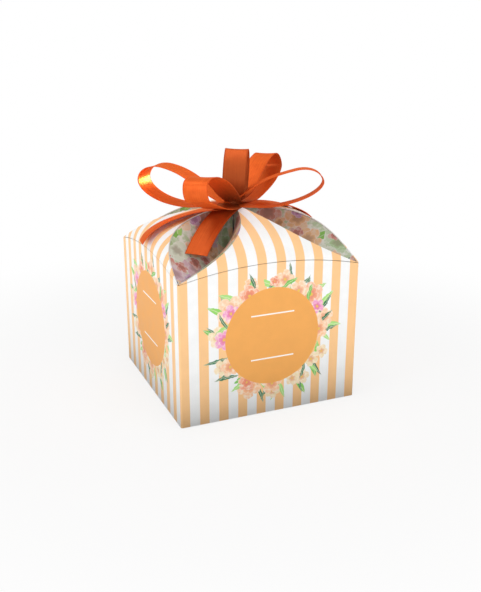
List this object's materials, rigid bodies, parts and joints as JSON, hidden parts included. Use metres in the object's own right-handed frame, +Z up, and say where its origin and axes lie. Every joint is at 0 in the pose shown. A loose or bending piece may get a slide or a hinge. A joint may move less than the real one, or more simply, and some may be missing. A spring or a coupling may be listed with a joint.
{
  "type": "gift box",
  "caption": "Square paperboard gift carton for chocolates, with arched creases, petal flaps folding in over bellows gussets and a ribbon bow on top.",
  "frame": {"origin": "middle of the carton's underside, on the surface it stands on", "axes": "+Z up, -Y out of the front wall, +X to the right seen from the front"},
  "size_m": [0.1016, 0.1, 0.1313],
  "materials": {
    "striped_board": "satin varnished print, peach stripes on white",
    "gusset_board": "satin varnished all-over blossom print",
    "plain_board": "uncoated white board",
    "satin_ribbon": "satin weave ribbon, orange",
    "chocolate": "smooth milk chocolate with a soft sheen"
  },
  "bodies": {
    "carton": {"front_wall": "striped_board", "right_wall": "striped_board", "back_wall": "striped_board", "left_wall": "striped_board", "glue_seam_flap": "plain_board", "base_front_flap": "plain_board", "base_back_flap": "plain_board", "base_left_flap": "plain_board", "base_right_flap": "plain_board", "chocolates_lower_layer": "chocolate", "chocolates_upper_layer": "chocolate"},
    "front_petal": {"front_petal": "striped_board", "front_petal_left_gusset": "gusset_board", "front_petal_right_gusset": "gusset_board"},
    "right_petal": {"right_petal": "striped_board", "right_petal_left_gusset": "gusset_board", "right_petal_right_gusset": "gusset_board"},
    "back_petal": {"back_petal": "striped_board", "back_petal_left_gusset": "gusset_board", "back_petal_right_gusset": "gusset_board"},
    "left_petal": {"left_petal": "striped_board", "left_petal_left_gusset": "gusset_board", "left_petal_right_gusset": "gusset_board"},
    "bow": {"bow_knot": "satin_ribbon", "bow_left_loop": "satin_ribbon", "bow_right_loop": "satin_ribbon", "bow_front_loop": "satin_ribbon", "bow_back_loop": "satin_ribbon", "bow_upright_loop": "satin_ribbon", "bow_front_tail": "satin_ribbon", "bow_left_tail": "satin_ribbon", "bow_right_tail": "satin_ribbon"}
  },
  "joints": [
    {"name": "bow_lift", "type": "slide", "parent": "carton", "child": "bow", "axis": [0, 0, 1], "range_m": [0, 0.12]},
    {"name": "front_petal_fold", "type": "hinge", "parent": "carton", "child": "front_petal", "pos_m": [0, -0.05, 0.076], "axis": [1, 0, 0], "range_deg": [0, 62]},
    {"name": "right_petal_fold", "type": "hinge", "parent": "carton", "child": "right_petal", "pos_m": [0.05, 0, 0.076], "axis": [0, 1, 0], "range_deg": [0, 62]},
    {"name": "back_petal_fold", "type": "hinge", "parent": "carton", "child": "back_petal", "pos_m": [0, 0.05, 0.076], "axis": [-1, 0, 0], "range_deg": [0, 62]},
    {"name": "left_petal_fold", "type": "hinge", "parent": "carton", "child": "left_petal", "pos_m": [-0.05, 0, 0.076], "axis": [0, -1, 0], "range_deg": [0, 62]}
  ],
  "couplings": [
    {"joint": "front_petal_fold", "follows": "bow_lift", "rad_per_m": 9},
    {"joint": "right_petal_fold", "follows": "bow_lift", "rad_per_m": 9},
    {"joint": "back_petal_fold", "follows": "bow_lift", "rad_per_m": 9},
    {"joint": "left_petal_fold", "follows": "bow_lift", "rad_per_m": 9}
  ]
}
